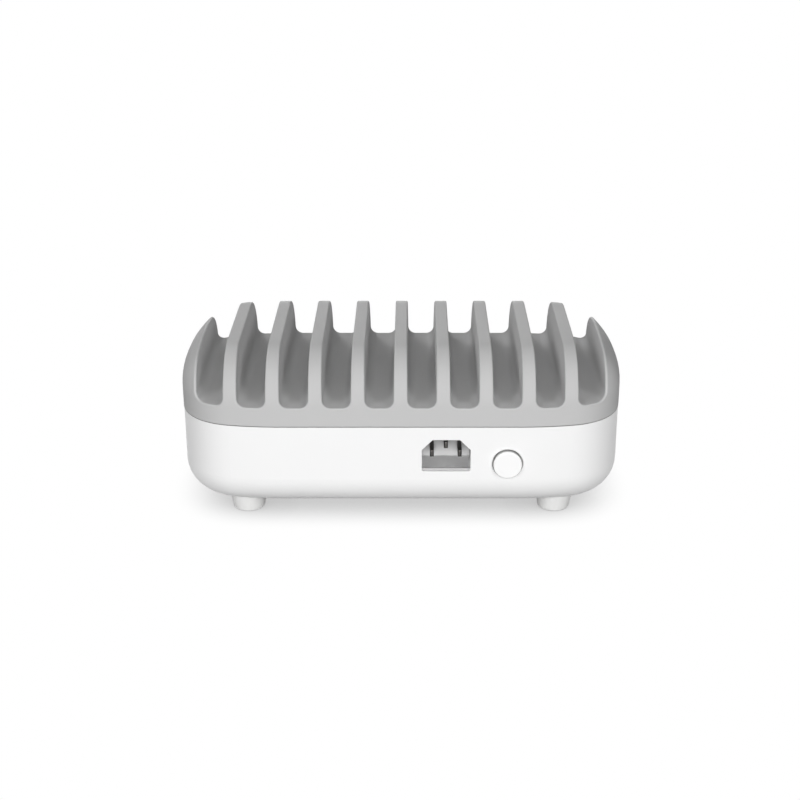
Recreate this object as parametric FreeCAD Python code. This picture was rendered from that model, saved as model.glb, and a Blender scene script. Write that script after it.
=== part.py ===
import FreeCAD, Part
import math
import os

# Charging station organizer: a white tub and a grey slotted cover round a mains power supply.
# Millimetres. X runs along the row of slots, Y from the inlet side (-Y) to the port side (+Y), Z up.
# The origin lies on the table, under the middle of the body.

# Body: the plan shared by cover and tub
body_width = 226.4
body_depth = 112.6
plan_corner_radius = 32.0
plan_shoulder_radius = 138.0
plan_reach_share = 0.9545
foot_height = 7.0
tub_height = 44.8
seam_reveal = 0.5

# Cover
cover_wall = 2.6
crown_radius = 25.2
slot_floor_rise = 9.7
rib_height = 25.6
slot_count = 10
end_margin = 8.2
rib_base_thickness = 7.1
rib_wall = 2.0
slot_draft_degrees = 0.8
slot_corner_radius = 4.2
rim_radius = 0.8
tongue_height = 3.0
tongue_thickness = 1.4
tongue_clearance = 0.2

# Tub
tub_inset = 0.2
tub_wall = 2.5
tub_bottom_radius = 16.5
seat_clearance = 0.2
vent_count = 13
vent_pitch = 8.0
vent_width = 2.4
vent_length = 28.0
vent_end_share = 0.49

# Feet
foot_top_radius = 9.2
foot_bottom_radius = 7.9
foot_edge_radius = 1.2
foot_inset_x = 34.6
foot_inset_y = 19.8
foot_stem_radius = 2.5
foot_stem_head_radius = 3.5
foot_stem_head_height = 1.6
foot_stem_clearance = 0.15

# Case screws and the bosses that they join
case_boss_radius = 4.5
case_boss_spacing_y = 28.0
case_boss_height = 22.0
case_screw_seat = 14.0
case_screw_length = 16.0
case_screw_radius = 1.5
case_screw_head_radius = 2.8
case_screw_head_height = 2.0
screw_hole_clearance = 0.15
screw_head_clearance = 0.6
screw_drive_width = 0.8
screw_drive_share = 0.7
screw_drive_depth_share = 0.5

# Fixing screws: one size for boards, inlet and switch
fixing_screw_radius = 1.25
fixing_screw_length = 6.0
fixing_screw_head_radius = 2.4
fixing_screw_head_height = 1.6
fixing_boss_radius = 3.0

# Mains inlet in the rear wall
inlet_x_share = 0.0998
inlet_width = 24.3
inlet_height = 17.0
inlet_drop = 6.7
inlet_chamfer = 5.4
inlet_corner_radius = 1.2
inlet_depth = 19.5
inlet_wall = 1.7
inlet_back_wall = 2.5
inlet_ear_setback = 5.0
inlet_ear_thickness = 2.5
inlet_ear_height = 9.0
inlet_ear_reach = 7.0
inlet_ear_hole_inset = 3.4
pin_thickness = 2.0
pin_width = 4.0
pin_spacing = 14.0
pin_rise = 2.3
pin_tip_recess = 8.0
pin_tip_radius = 0.9
pin_tail_length = 6.0
pin_clearance = 0.05

# Power button and its switch
button_gap = 1.05
button_drop_share = 0.4397
button_hole_radius = 7.7
button_hole_chamfer = 0.4
button_radius = 7.1
button_proud = 2.0
button_edge_radius = 0.7
button_travel = 2.0
button_flange_radius = 8.7
button_flange_thickness = 1.5
button_stop_gap = 0.3
plunger_radius = 2.5
plunger_length = 15.0
plunger_socket_depth = 3.0
plunger_clearance = 0.1
plunger_end_room = 1.5
spring_outer_radius = 5.5
spring_wire = 1.0
spring_end_gap = 0.2
spring_length = 5.4
switch_width = 16.0
switch_height = 16.0
switch_ear_height = 8.0
switch_ear_thickness = 2.5
switch_back_wall = 2.0
switch_terminal_spacing = 8.0
switch_terminal_width = 4.0
switch_terminal_thickness = 0.8
switch_terminal_length = 7.0
switch_terminal_depth = 1.5

# Power board
board_thickness = 1.6
board_standoff = 5.0
board_side_gap = 4.0
board_rear_setback = 24.0
board_front_gap = 5.0
standoff_radius = 3.0
standoff_inset = 8.0

# Parts on the power board: their places are shares of the board's half length and half depth, and their
# lengths and depths are shares of the board's own, so that the layout follows the board
transformer_width_share = 0.2093
transformer_depth_share = 0.2164
transformer_height = 30.0
transformer_yoke = 5.0
transformer_leg_share = 0.278
transformer_side_leg_share = 0.139
winding_gap = 0.3
winding_overhang_share = 0.1005
winding_foot_width = 3.0
transformer_place_shares = (-0.12, 0.10)
round_part_share = 0.376
bulk_capacitor_radius_share = 0.1391
bulk_capacitor_height = 32.0
can_rim_depth = 0.4
can_rim_share = 0.82
bulk_capacitor_place_shares = ((0.27, 0.48), (0.51, 0.48))
choke_radius_share = 0.1932
choke_bore_share = 0.48
choke_thickness_share = 0.1855
choke_base_share = 0.8
choke_base_height = 3.0
choke_place_shares = (0.80, 0.30)
safety_capacitor_shares = (0.1047, 0.1314)
safety_capacitor_height = 15.0
safety_capacitor_round = 0.8
safety_capacitor_place_shares = (0.27, -0.38)
fuse_shares = (0.0494, 0.0618)
fuse_height = 8.0
fuse_round = 0.6
fuse_place_shares = (0.84, -0.40)
rectifier_shares = (0.1163, 0.0618)
rectifier_height = 16.0
rectifier_lead_count = 4
rectifier_lead_pitch = 5.0
rectifier_place_shares = (0.52, -0.14)
lead_width = 0.9
lead_height = 3.0
heat_sink_thickness_share = 0.0386
heat_sink_height = 28.0
heat_sink_fin_share = 0.0927
heat_sink_fin_thickness = 1.5
heat_sink_fin_pitch = 6.0
primary_sink_share = 0.2209
primary_sink_place_shares = (-0.24, -0.70)
secondary_sink_share = 0.1512
secondary_sink_place_shares = (-0.70, -0.45)
transistor_shares = (0.0581, 0.0696)
transistor_height = 15.0
transistor_rise = 6.0
transistor_lead_count = 3
transistor_lead_pitch = 2.54
output_capacitor_radius_share = 0.0773
output_capacitor_height = 22.0
output_capacitor_place_shares = ((-0.56, 0.08), (-0.56, 0.52), (-0.74, 0.08), (-0.74, 0.52))

# Charging ports in the front wall and the upright board behind them
port_count = 10
port_row_share = 0.5963
port_drop_share = 0.4241
port_shell_width = 5.7
port_shell_height = 13.1
port_shell_length = 14.0
port_shell_wall = 0.35
port_shell_corner = 0.7
port_shell_recess = 0.4
port_clearance = 0.25
port_tongue_width = 11.1
port_tongue_thickness = 1.84
port_tongue_recess = 0.8
port_tongue_offset = 0.75
port_block_length = 5.0
port_block_clearance = 0.1
contact_count = 4
contact_pitch = 2.25
contact_width = 1.0
contact_thickness = 0.25
contact_recess = 1.0
contact_length = 6.5
port_board_height = 32.0
port_board_end_room = 9.0
port_board_post_inset = 4.5
port_board_post_spacing = 20.0
chip_count = 5
chip_size = (5.0, 1.5, 4.0)
chip_rise = 9.0

# Wires inside
wire_diameter = 2.0
wire_bend_radius = 4.0
mains_wire_reach = 7.0
live_wire_reach = 10.0
dc_wire_spacing = 6.0
dc_wire_height = 16.0
dc_wire_inset = 5.0
dc_wire_x_share = -0.40

# One overrun serves all cuts
overrun = 1.0

# Levels and faces worked out from the sizes above
tub_floor_z = foot_height
inner_floor_z = tub_floor_z + tub_wall
seam_z = tub_floor_z + tub_height
cover_edge_z = seam_z + seam_reveal
slot_floor_z = cover_edge_z + slot_floor_rise
top_z = slot_floor_z + rib_height
slot_pitch = (body_width - 2 * end_margin) / slot_count
slot_floor_width = slot_pitch - rib_base_thickness
slot_draft = math.tan(math.radians(slot_draft_degrees))
slot_places = [(i - (slot_count - 1) / 2) * slot_pitch for i in range(slot_count)]
rear_face_y = -(body_depth / 2 - tub_inset)
rear_inner_y = rear_face_y + tub_wall
front_face_y = -rear_face_y
foot_x = body_width / 2 - foot_inset_x
foot_y = body_depth / 2 - foot_inset_y
case_boss_x = max(slot_places)
case_boss_y = case_boss_spacing_y / 2
case_boss_top_z = inner_floor_z + case_boss_height
case_seat_z = tub_floor_z + case_screw_seat
case_pilot_radius = case_screw_radius + screw_hole_clearance
fixing_pilot_radius = fixing_screw_radius + screw_hole_clearance
plan_reach = body_depth / 2 * plan_reach_share
inlet_x = body_width * inlet_x_share
inlet_top_z = seam_z - inlet_drop
inlet_z = inlet_top_z - inlet_height / 2
inlet_back_y = rear_face_y + inlet_depth
inlet_end_y = inlet_back_y + inlet_back_wall
inlet_ear_y = rear_inner_y + inlet_ear_setback
inlet_ear_hole_x = inlet_width / 2 + inlet_wall + inlet_ear_reach - inlet_ear_hole_inset
pin_tail_y = inlet_end_y + pin_tail_length
button_x = inlet_x + inlet_width / 2 + inlet_wall + inlet_ear_reach + button_gap + button_flange_radius
button_z = seam_z - tub_height * button_drop_share
button_front_y = rear_face_y - button_proud
button_flange_y = rear_inner_y + button_stop_gap
button_back_y = button_flange_y + button_flange_thickness
plunger_front_y = button_back_y - plunger_socket_depth
plunger_end_y = button_back_y + plunger_length
switch_front_y = button_back_y + spring_length
switch_bore_end_y = plunger_end_y + button_travel + plunger_end_room
switch_end_y = switch_bore_end_y + switch_back_wall
switch_ear_z = switch_height / 2 + switch_ear_height / 2 + fixing_screw_radius
switch_terminal_end_y = switch_end_y + switch_terminal_length
port_z = seam_z - tub_height * port_drop_share
port_pitch = body_width * port_row_share / (port_count - 1)
port_shell_front_y = front_face_y - port_shell_recess
port_board_y = port_shell_front_y - port_shell_length
port_board_back_y = port_board_y - board_thickness
port_places = [(i - (port_count - 1) / 2) * port_pitch for i in range(port_count)]
port_board_length = (port_count - 1) * port_pitch + 2 * (port_pitch / 2 + port_board_end_room)
port_board_post_x = port_board_length / 2 - port_board_post_inset
board_z = inner_floor_z + board_standoff
board_top_z = board_z + board_thickness
board_length = 2 * (case_boss_x - case_boss_radius - board_side_gap)
board_rear_y = rear_inner_y + board_rear_setback
board_front_y = port_board_back_y - board_front_gap
board_depth = board_front_y - board_rear_y
board_y = (board_front_y + board_rear_y) / 2
standoff_x = board_length / 2 - standoff_inset
standoff_ys = (board_rear_y + standoff_inset, board_front_y - standoff_inset)
round_part_room = min(board_length * round_part_share, board_depth)
transformer_width = board_length * transformer_width_share
transformer_core_depth = board_depth * transformer_depth_share
transformer_leg = transformer_width * transformer_leg_share
transformer_side_leg = transformer_width * transformer_side_leg_share
winding_overhang = board_depth * winding_overhang_share
bulk_capacitor_radius = round_part_room * bulk_capacitor_radius_share
output_capacitor_radius = round_part_room * output_capacitor_radius_share
choke_outer_radius = round_part_room * choke_radius_share
choke_inner_radius = choke_outer_radius * choke_bore_share
choke_thickness = board_depth * choke_thickness_share
choke_base_width = 2 * choke_outer_radius * choke_base_share
heat_sink_thickness = board_depth * heat_sink_thickness_share
heat_sink_fin_length = board_depth * heat_sink_fin_share
primary_sink_length = board_length * primary_sink_share
secondary_sink_length = board_length * secondary_sink_share


def point(x, y, z):
    return FreeCAD.Vector(x, y, z)


up = point(0, 0, 1)
inward = point(0, 1, 0)
sideways = point(1, 0, 0)
near_zero = 10 * Part.Precision.confusion()


def block(size, x, y, bottom_z):
    corner = point(x - size[0] / 2, y - size[1] / 2, bottom_z)
    return Part.makeBox(size[0], size[1], size[2], corner)


def post(radius, bottom_z, end_z, x, y):
    return Part.makeCylinder(radius, end_z - bottom_z, point(x, y, bottom_z), up)


def rod(radius, start_y, end_y, x, z):
    return Part.makeCylinder(radius, end_y - start_y, point(x, start_y, z), inward)


def edges_along(shape, axis):
    lengths = {"x": "XLength", "y": "YLength", "z": "ZLength"}
    across = [lengths[other] for other in lengths if other != axis]
    return [e for e in shape.Edges if all(getattr(e.BoundBox, name) < near_zero for name in across)]


def edges_at_height(shape, z):
    flat = [e for e in shape.Edges if e.BoundBox.ZLength < near_zero]
    return [e for e in flat if abs(e.CenterOfMass.z - z) < near_zero]


def arc_point(centre, radius, angle):
    return centre + point(radius * math.cos(angle), radius * math.sin(angle), 0)


def arc(centre, radius, start, end):
    ends = [arc_point(centre, radius, angle) for angle in (start, (start + end) / 2, end)]
    return Part.Arc(*ends).toShape()


def plan_quarter(inset, z):
    # A quarter of the outline: each corner is a tight arc between two wide shoulder arcs
    # The shoulders turn as far as the corner's reach along each side allows
    upright = math.pi / 2
    wider = plan_shoulder_radius - plan_corner_radius
    widening = (plan_reach - plan_corner_radius) / wider
    turn = upright / 2 - math.asin((1 - widening) / math.sqrt(2))
    start = point(body_width / 2 - plan_reach, body_depth / 2 - plan_shoulder_radius, z)
    middle = arc_point(start, wider, upright - turn)
    end = arc_point(middle, -wider, turn)
    shoulder = plan_shoulder_radius - inset
    long_side = Part.LineSegment(point(0, body_depth / 2 - inset, z), arc_point(start, shoulder, upright))
    short_side = Part.LineSegment(arc_point(end, shoulder, 0), point(body_width / 2 - inset, 0, z))
    return [
        long_side.toShape(),
        arc(start, shoulder, upright, upright - turn),
        arc(middle, plan_corner_radius - inset, upright - turn, turn),
        arc(end, shoulder, turn, 0),
        short_side.toShape(),
    ]


def plan_block(inset, bottom_z, end_z):
    # The body's rounded plan, drawn in by the inset and raised between two levels
    origin = point(0, 0, 0)
    half = plan_quarter(inset, bottom_z)
    half += [edge.mirror(origin, sideways) for edge in half]
    outline = half + [edge.mirror(origin, inward) for edge in half]
    plan = Part.Face(Part.Wire(Part.sortEdges(outline)[0]))
    return plan.extrude(up * (end_z - bottom_z)).removeSplitter()


def crowned_block(inset, bottom_z):
    upright = plan_block(inset, bottom_z, top_z - inset)
    return upright.makeFillet(crown_radius - inset, edges_at_height(upright, top_z - inset))


def tub_block(inset, end_z):
    bottom_z = tub_floor_z + inset - tub_inset
    upright = plan_block(inset, bottom_z, end_z)
    return upright.makeFillet(tub_bottom_radius + tub_inset - inset, edges_at_height(upright, bottom_z))


def slot_tool(x, growth):
    # One slot with tapered walls and rounded floor corners, grown on all sides for the hollow below it
    bottom_z = slot_floor_z - growth
    end_z = top_z + overrun
    half_floor = slot_floor_width / 2 + growth
    half_mouth = half_floor + (end_z - bottom_z) * slot_draft
    start_y = -body_depth / 2 - overrun
    outline = Part.makePolygon([
        point(x - half_floor, start_y, bottom_z),
        point(x + half_floor, start_y, bottom_z),
        point(x + half_mouth, start_y, end_z),
        point(x - half_mouth, start_y, end_z),
        point(x - half_floor, start_y, bottom_z),
    ])
    trough = Part.Face(outline).extrude(inward * (body_depth + 2 * overrun))
    floor_edges = [e for e in edges_along(trough, "y") if abs(e.CenterOfMass.z - bottom_z) < overrun / 2]
    return trough.makeFillet(slot_corner_radius + growth, floor_edges)


def on_surface(edge, shell):
    middle = edge.valueAt((edge.FirstParameter + edge.LastParameter) / 2)
    return shell.distToShape(Part.Vertex(middle))[0] < near_zero


def slotted_block():
    # The crowned outside with its slots cut through and the slot rims rounded over
    outside = crowned_block(0, cover_edge_z)
    slots = [slot_tool(x, 0) for x in slot_places]
    cut = outside.cut(slots)
    skin = outside.Shells[0]
    rims = [e for e in cut.Edges if on_surface(e, skin) and any(on_surface(e, s.Shells[0]) for s in slots)]
    return cut.makeFillet(rim_radius, rims)


def case_boss_places():
    return [(sx * case_boss_x, sy * case_boss_y) for sx in (-1, 1) for sy in (-1, 1)]


def slotted_cover():
    hollow = crowned_block(cover_wall, cover_edge_z - overrun)
    hollow = hollow.cut([slot_tool(x, rib_wall) for x in slot_places])
    rabbet_inset = tub_inset + tub_wall - tongue_thickness - tongue_clearance
    rabbet = plan_block(rabbet_inset, cover_edge_z - overrun, seam_z + tongue_height)
    cover = slotted_block().cut([hollow, rabbet])
    for x, y in case_boss_places():
        boss = post(case_boss_radius, case_boss_top_z, slot_floor_z - rib_wall / 2, x, y)
        pilot_end_z = case_seat_z + case_screw_length + overrun
        pilot = post(case_pilot_radius, case_boss_top_z - overrun, pilot_end_z, x, y)
        cover = cover.fuse(boss).cut(pilot)
    return cover.removeSplitter()


def inlet_outline(growth, start_y, end_y):
    # The inlet's six-sided opening, with its two upper corners cut off
    half = inlet_width / 2 + growth
    end_z = inlet_top_z + growth
    bottom_z = inlet_top_z - inlet_height - growth
    corner = inlet_chamfer + growth * (2 - math.sqrt(2))
    outline = Part.makePolygon([
        point(inlet_x - half, start_y, bottom_z),
        point(inlet_x + half, start_y, bottom_z),
        point(inlet_x + half, start_y, end_z - corner),
        point(inlet_x + half - corner, start_y, end_z),
        point(inlet_x - half + corner, start_y, end_z),
        point(inlet_x - half, start_y, end_z - corner),
        point(inlet_x - half, start_y, bottom_z),
    ])
    solid = Part.Face(outline).extrude(inward * (end_y - start_y))
    lower = [e for e in edges_along(solid, "y") if abs(e.CenterOfMass.z - bottom_z) < inlet_corner_radius]
    return solid.makeFillet(inlet_corner_radius + growth, lower)


def inlet_ear_places():
    return [inlet_x + side * inlet_ear_hole_x for side in (-1, 1)]


def switch_ear_places():
    return [button_z + side * switch_ear_z for side in (-1, 1)]


def port_post_places():
    zs = [port_z + side * port_board_post_spacing / 2 for side in (-1, 1)]
    return [(side * port_board_post_x, z) for side in (-1, 1) for z in zs]


def standoff_places():
    return [(side * standoff_x, y) for side in (-1, 1) for y in standoff_ys]


def foot_places():
    return {
        "rear_left_foot": (-foot_x, -foot_y),
        "rear_right_foot": (foot_x, -foot_y),
        "front_left_foot": (-foot_x, foot_y),
        "front_right_foot": (foot_x, foot_y),
    }


def tub_bosses():
    root_y = rear_inner_y - tub_wall / 2
    root_z = inner_floor_z - tub_wall / 2
    bosses = [rod(fixing_boss_radius, root_y, inlet_ear_y, x, inlet_z) for x in inlet_ear_places()]
    bosses += [rod(fixing_boss_radius, root_y, switch_front_y, button_x, z) for z in switch_ear_places()]
    bosses += [rod(fixing_boss_radius, port_board_y, -root_y, x, z) for x, z in port_post_places()]
    bosses += [post(standoff_radius, root_z, board_z, x, y) for x, y in standoff_places()]
    bosses += [post(case_boss_radius, root_z, case_boss_top_z, x, y) for x, y in case_boss_places()]
    return bosses


def tub_holes():
    past = fixing_screw_length + overrun
    pilot = fixing_pilot_radius
    start_y = inlet_ear_y + inlet_ear_thickness - past
    holes = [rod(pilot, start_y, inlet_ear_y + overrun, x, inlet_z) for x in inlet_ear_places()]
    start_y = switch_front_y + switch_ear_thickness - past
    holes += [rod(pilot, start_y, switch_front_y + overrun, button_x, z) for z in switch_ear_places()]
    end_y = port_board_back_y + past
    holes += [rod(pilot, port_board_y - overrun, end_y, x, z) for x, z in port_post_places()]
    holes += [post(pilot, board_top_z - past, board_z + overrun, x, y) for x, y in standoff_places()]
    for x, y in case_boss_places():
        head_room = case_screw_head_radius + screw_head_clearance
        holes.append(post(head_room, tub_floor_z - overrun, case_seat_z, x, y))
        holes.append(post(case_pilot_radius, case_seat_z - overrun, case_boss_top_z + overrun, x, y))
    stem_hole = foot_stem_radius + foot_stem_clearance
    for x, y in foot_places().values():
        holes.append(post(stem_hole, tub_floor_z - overrun, inner_floor_z + overrun, x, y))
    # Behind the wall's flat part, seats keep the inlet, the button's flange and the ports clear of its curves
    holes.append(inlet_outline(0, rear_face_y - overrun, rear_inner_y + overrun))
    holes.append(inlet_outline(inlet_wall + seat_clearance, rear_inner_y, inlet_ear_y))
    seat_radius = button_flange_radius + seat_clearance
    holes.append(rod(seat_radius, rear_inner_y, switch_front_y, button_x, button_z))
    holes.append(rod(button_hole_radius, rear_face_y - overrun, rear_inner_y + overrun, button_x, button_z))
    mouth_radius = button_hole_radius + button_hole_chamfer
    mouth = point(button_x, rear_face_y, button_z)
    holes.append(Part.makeCone(mouth_radius, button_hole_radius, button_hole_chamfer, mouth, inward))
    for x in port_places:
        holes.append(port_prism(x, port_clearance, port_board_y, front_face_y + overrun))
    for i in range(vent_count):
        x = (i - (vent_count - 1) / 2) * vent_pitch
        holes.append(vent_tool(x))
    return holes


def vent_tool(x):
    height = tub_wall + 2 * overrun
    slit = block((vent_width, vent_length, height), x, 0, tub_floor_z - overrun)
    return slit.makeFillet(vent_width * vent_end_share, edges_along(slit, "z"))


def lower_housing():
    tongue_inset = tub_inset + tub_wall - tongue_thickness
    tub = tub_block(tub_inset, seam_z)
    tub = tub.fuse(plan_block(tongue_inset, inner_floor_z + tub_bottom_radius, seam_z + tongue_height))
    tub = tub.cut(tub_block(tub_inset + tub_wall, seam_z + tongue_height + overrun))
    # The bosses' roots end inside the outer face, also where the wall curves in towards the corners
    tub = tub.fuse(tub_bosses()).common(tub_block(tub_inset, seam_z + tongue_height))
    return tub.cut(tub_holes()).removeSplitter()


def foot(x, y):
    # A tapered foot, seated on the rounded underside, with a stem snapped through the tub's floor
    rise = tub_bottom_radius / 2
    widening = (foot_top_radius - foot_bottom_radius) / foot_height * rise
    end_radius = foot_top_radius + widening
    cone = Part.makeCone(foot_bottom_radius, end_radius, foot_height + rise, point(x, y, 0), up)
    cone = cone.makeFillet(foot_edge_radius, edges_at_height(cone, 0))
    cone = cone.cut(tub_block(tub_inset, seam_z))
    stem = post(foot_stem_radius, tub_floor_z - overrun, inner_floor_z + foot_stem_head_height, x, y)
    head = post(foot_stem_head_radius, inner_floor_z, inner_floor_z + foot_stem_head_height, x, y)
    return cone.fuse([stem, head]).removeSplitter()


def screw(radius, length, head_radius, head_height):
    # A screw that points up from a head below its seat at the origin, with a cross recess in the head
    shape = post(radius, -head_height / 2, length, 0, 0).fuse(post(head_radius, -head_height, 0, 0, 0))
    reach = 2 * head_radius * screw_drive_share
    depth = head_height * screw_drive_depth_share
    cross = block((reach, screw_drive_width, depth + overrun), 0, 0, -head_height - overrun)
    cross = cross.fuse(block((screw_drive_width, reach, depth + overrun), 0, 0, -head_height - overrun))
    return shape.cut(cross).removeSplitter()


def turned(shape, direction, place):
    copy = shape.copy()
    copy.Placement = FreeCAD.Placement(place, FreeCAD.Rotation(up, direction))
    return copy


def case_screws():
    pattern = screw(case_screw_radius, case_screw_length, case_screw_head_radius, case_screw_head_height)
    return Part.makeCompound([turned(pattern, up, point(x, y, case_seat_z)) for x, y in case_boss_places()])


def fixing_screws():
    head = (fixing_screw_head_radius, fixing_screw_head_height)
    pattern = screw(fixing_screw_radius, fixing_screw_length, *head)
    inlet_seat_y = inlet_ear_y + inlet_ear_thickness
    screws = [turned(pattern, -inward, point(x, inlet_seat_y, inlet_z)) for x in inlet_ear_places()]
    switch_seat_y = switch_front_y + switch_ear_thickness
    screws += [turned(pattern, -inward, point(button_x, switch_seat_y, z)) for z in switch_ear_places()]
    screws += [turned(pattern, inward, point(x, port_board_back_y, z)) for x, z in port_post_places()]
    screws += [turned(pattern, -up, point(x, y, board_top_z)) for x, y in standoff_places()]
    return Part.makeCompound(screws)


def pin_places():
    # Each pin's centre across the inlet and its height: earth stands above the other two
    return {
        "inlet_live_pin": (inlet_x + pin_spacing / 2, inlet_z - pin_rise),
        "inlet_neutral_pin": (inlet_x - pin_spacing / 2, inlet_z - pin_rise),
        "inlet_earth_pin": (inlet_x, inlet_z + pin_rise),
    }


def pin_bar(x, z, start_y, growth):
    size = (pin_thickness + 2 * growth, pin_tail_y - start_y, pin_width + 2 * growth)
    return block(size, x, (pin_tail_y + start_y) / 2, z - size[2] / 2)


def inlet_pin(x, z):
    tip_y = rear_face_y + pin_tip_recess
    bar = pin_bar(x, z, tip_y, 0)
    tip = [e for e in bar.Edges if abs(e.CenterOfMass.y - tip_y) < pin_tip_radius / 2]
    return bar.makeFillet(pin_tip_radius, tip)


def inlet_body():
    ears_width = inlet_width + 2 * (inlet_wall + inlet_ear_reach)
    ear_y = inlet_ear_y + inlet_ear_thickness / 2
    ears_size = (ears_width, inlet_ear_thickness, inlet_ear_height)
    ears = block(ears_size, inlet_x, ear_y, inlet_z - inlet_ear_height / 2)
    body = inlet_outline(inlet_wall, rear_inner_y, inlet_end_y).fuse(ears)
    body = body.cut(inlet_outline(0, rear_inner_y - overrun, inlet_back_y))
    bar_y = inlet_back_y - overrun
    body = body.cut([pin_bar(x, z, bar_y, pin_clearance) for x, z in pin_places().values()])
    hole_start_y = inlet_ear_y - overrun
    hole_end_y = inlet_ear_y + inlet_ear_thickness + overrun
    holes = [rod(fixing_pilot_radius, hole_start_y, hole_end_y, x, inlet_z) for x in inlet_ear_places()]
    return body.cut(holes).removeSplitter()


def button_cap():
    # The cap passes through the wall, and its flange stops against the wall's inside
    cap = rod(button_radius, button_front_y, button_back_y, button_x, button_z)
    front = [e for e in cap.Edges if abs(e.CenterOfMass.y - button_front_y) < button_edge_radius]
    cap = cap.makeFillet(button_edge_radius, front)
    cap = cap.fuse(rod(button_flange_radius, button_flange_y, button_back_y, button_x, button_z))
    socket = rod(plunger_radius + pin_clearance, plunger_front_y, button_back_y + overrun, button_x, button_z)
    return cap.cut(socket).removeSplitter()


def switch_plunger():
    return rod(plunger_radius, plunger_front_y, plunger_end_y, button_x, button_z)


def button_spring():
    end_y = switch_front_y
    start_y = button_back_y + spring_end_gap
    sleeve = rod(spring_outer_radius, start_y, end_y, button_x, button_z)
    bore_radius = spring_outer_radius - spring_wire
    return sleeve.cut(rod(bore_radius, start_y - overrun, end_y + overrun, button_x, button_z))


def switch_terminal_bars(growth):
    length = switch_terminal_end_y - switch_end_y + switch_terminal_depth
    size = (switch_terminal_thickness + 2 * growth, length, switch_terminal_width + 2 * growth)
    y = switch_terminal_end_y - size[1] / 2
    places = [button_x + side * switch_terminal_spacing / 2 for side in (-1, 1)]
    return [block(size, x, y, button_z - size[2] / 2) for x in places]


def switch_body():
    length = switch_end_y - switch_front_y
    bottom_z = button_z - switch_height / 2
    body = block((switch_width, length, switch_height), button_x, switch_front_y + length / 2, bottom_z)
    ears_height = switch_height + 2 * switch_ear_height
    ears_size = (2 * fixing_boss_radius, switch_ear_thickness, ears_height)
    ear_y = switch_front_y + switch_ear_thickness / 2
    body = body.fuse(block(ears_size, button_x, ear_y, button_z - ears_height / 2))
    start_y = switch_front_y - overrun
    bore = rod(plunger_radius + plunger_clearance, start_y, switch_bore_end_y, button_x, button_z)
    hole_end_y = switch_front_y + switch_ear_thickness + overrun
    holes = [rod(fixing_pilot_radius, start_y, hole_end_y, button_x, z) for z in switch_ear_places()]
    return body.cut([bore] + holes + switch_terminal_bars(pin_clearance)).removeSplitter()


def switch_terminals():
    return Part.makeCompound(switch_terminal_bars(0))


def on_board(shares):
    return shares[0] * board_length / 2, board_y + shares[1] * board_depth / 2


def board_size(shares, height):
    return shares[0] * board_length, shares[1] * board_depth, height


def power_board():
    board = block((board_length, board_depth, board_thickness), 0, board_y, board_z)
    start_z = board_z - overrun
    end_z = board_top_z + overrun
    return board.cut([post(fixing_pilot_radius, start_z, end_z, x, y) for x, y in standoff_places()])


def transformer_core():
    x, y = on_board(transformer_place_shares)
    core = block((transformer_width, transformer_core_depth, transformer_height), x, y, board_top_z)
    window = ((transformer_width - transformer_leg) / 2 - transformer_side_leg,
              transformer_core_depth + 2 * overrun, transformer_height - 2 * transformer_yoke)
    offset = (transformer_leg + window[0]) / 2
    windows = [block(window, x + side * offset, y, board_top_z + transformer_yoke) for side in (-1, 1)]
    return core.cut(windows)


def transformer_winding():
    # The wound bobbin round the middle leg, with feet down to the board on both sides of the core
    x, y = on_board(transformer_place_shares)
    width = transformer_width - 2 * (transformer_side_leg + winding_gap)
    depth = transformer_core_depth + 2 * winding_overhang
    height = transformer_height - 2 * (transformer_yoke + winding_gap)
    bottom_z = board_top_z + transformer_yoke + winding_gap
    bobbin = block((width, depth, height), x, y, bottom_z)
    bobbin = bobbin.makeFillet(winding_foot_width, edges_along(bobbin, "z"))
    foot_y_offset = (depth - winding_foot_width) / 2
    foot_width = width - 2 * winding_foot_width
    foot_size = (foot_width, winding_foot_width, height / 2 + bottom_z - board_top_z)
    feet = [block(foot_size, x, y + side * foot_y_offset, board_top_z) for side in (-1, 1)]
    leg_width = transformer_leg + 2 * winding_gap
    leg_depth = transformer_core_depth + 2 * winding_gap
    leg = block((leg_width, leg_depth, height + 2 * overrun), x, y, bottom_z - overrun)
    return bobbin.fuse(feet).cut(leg).removeSplitter()


def can(radius, height, x, y):
    body = post(radius, board_top_z, board_top_z + height, x, y)
    end_z = board_top_z + height
    return body.cut(post(radius * can_rim_share, end_z - can_rim_depth, end_z + overrun, x, y))


def bulk_capacitors():
    places = [on_board(shares) for shares in bulk_capacitor_place_shares]
    return Part.makeCompound([can(bulk_capacitor_radius, bulk_capacitor_height, x, y) for x, y in places])


def output_capacitors():
    places = [on_board(shares) for shares in output_capacitor_place_shares]
    return Part.makeCompound([can(output_capacitor_radius, output_capacitor_height, x, y) for x, y in places])


def line_filter_choke():
    x, y = on_board(choke_place_shares)
    middle_z = board_top_z + choke_base_height / 2 + choke_outer_radius
    ring = rod(choke_outer_radius, y - choke_thickness / 2, y + choke_thickness / 2, x, middle_z)
    bore = rod(choke_inner_radius, y - choke_thickness, y + choke_thickness, x, middle_z)
    base = block((choke_base_width, choke_thickness, choke_base_height), x, y, board_top_z)
    return ring.fuse(base).cut(bore).removeSplitter()


def rounded_box(size, radius, shares):
    x, y = on_board(shares)
    box = block(size, x, y, board_top_z)
    sides = edges_along(box, "z") + edges_at_height(box, board_top_z + size[2])
    return box.makeFillet(radius, sides)


def leads(count, pitch, x, y, height):
    places = [x + (i - (count - 1) / 2) * pitch for i in range(count)]
    return [block((lead_width, lead_width, height), place, y, board_top_z) for place in places]


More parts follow.
